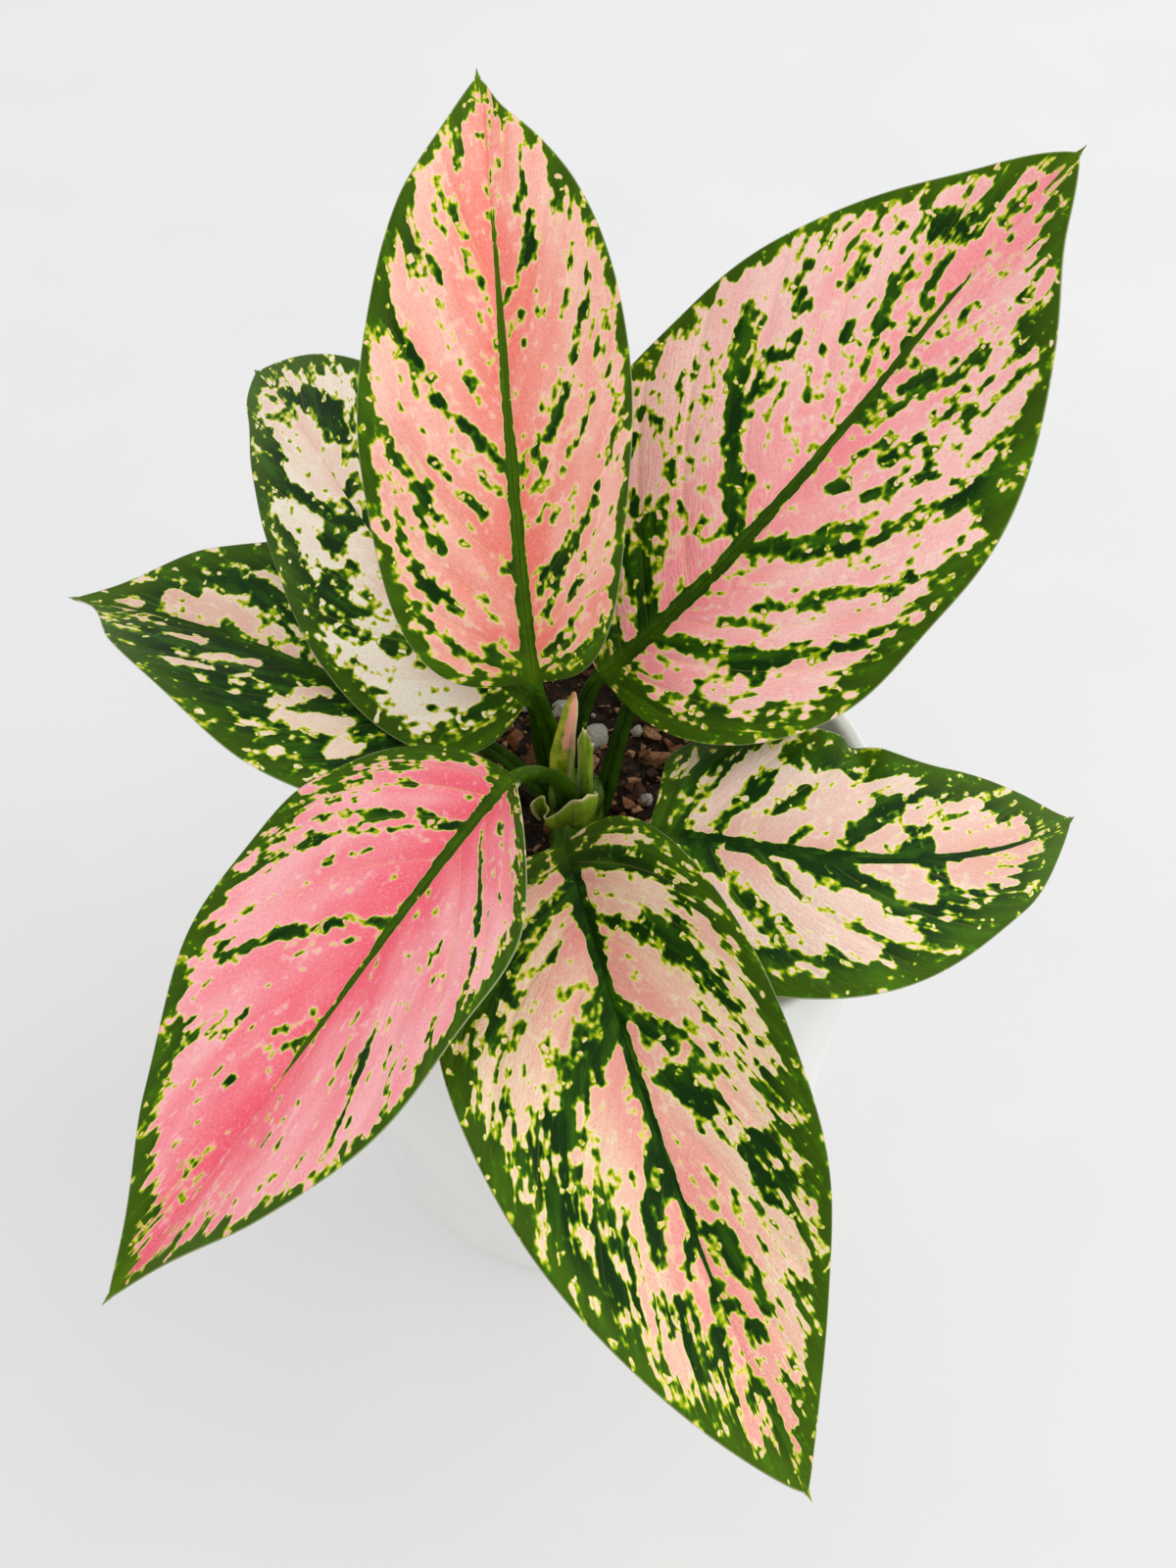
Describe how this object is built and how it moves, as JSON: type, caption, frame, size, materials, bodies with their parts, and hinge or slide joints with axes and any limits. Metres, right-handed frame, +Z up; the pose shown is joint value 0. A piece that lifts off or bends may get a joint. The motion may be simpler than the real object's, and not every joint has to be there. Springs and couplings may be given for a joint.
{
  "type": "potted chinese evergreen",
  "caption": "Small potted foliage plant: broad pointed leaves, pink marbled with green, on grooved stalks round a short stem, in a plain tapered pot.",
  "frame": {"origin": "centre of the pot's flat base, on the surface that it stands on", "axes": "+Z up, -Y to the side that the picture is taken from, +X to the picture's right"},
  "size_m": [0.2128, 0.2359, 0.2125],
  "materials": {
    "pot_glaze": "satin",
    "potting_mix": "matte",
    "green_stem": "satin",
    "young_leaf": "satin",
    "pink_leaf": "satin",
    "marbled_leaf": "satin"
  },
  "bodies": {
    "root": {"pot": "pot_glaze", "soil": "potting_mix", "stem": "green_stem", "spear": "young_leaf", "rolled_sheath": "young_leaf", "leaf_back_center": "pink_leaf", "leaf_back_left": "marbled_leaf", "leaf_back_right": "pink_leaf", "leaf_left_low": "marbled_leaf", "leaf_front_left": "pink_leaf", "leaf_front": "marbled_leaf", "leaf_right": "marbled_leaf", "leaf_under_right": "marbled_leaf"}
  },
  "joints": []
}
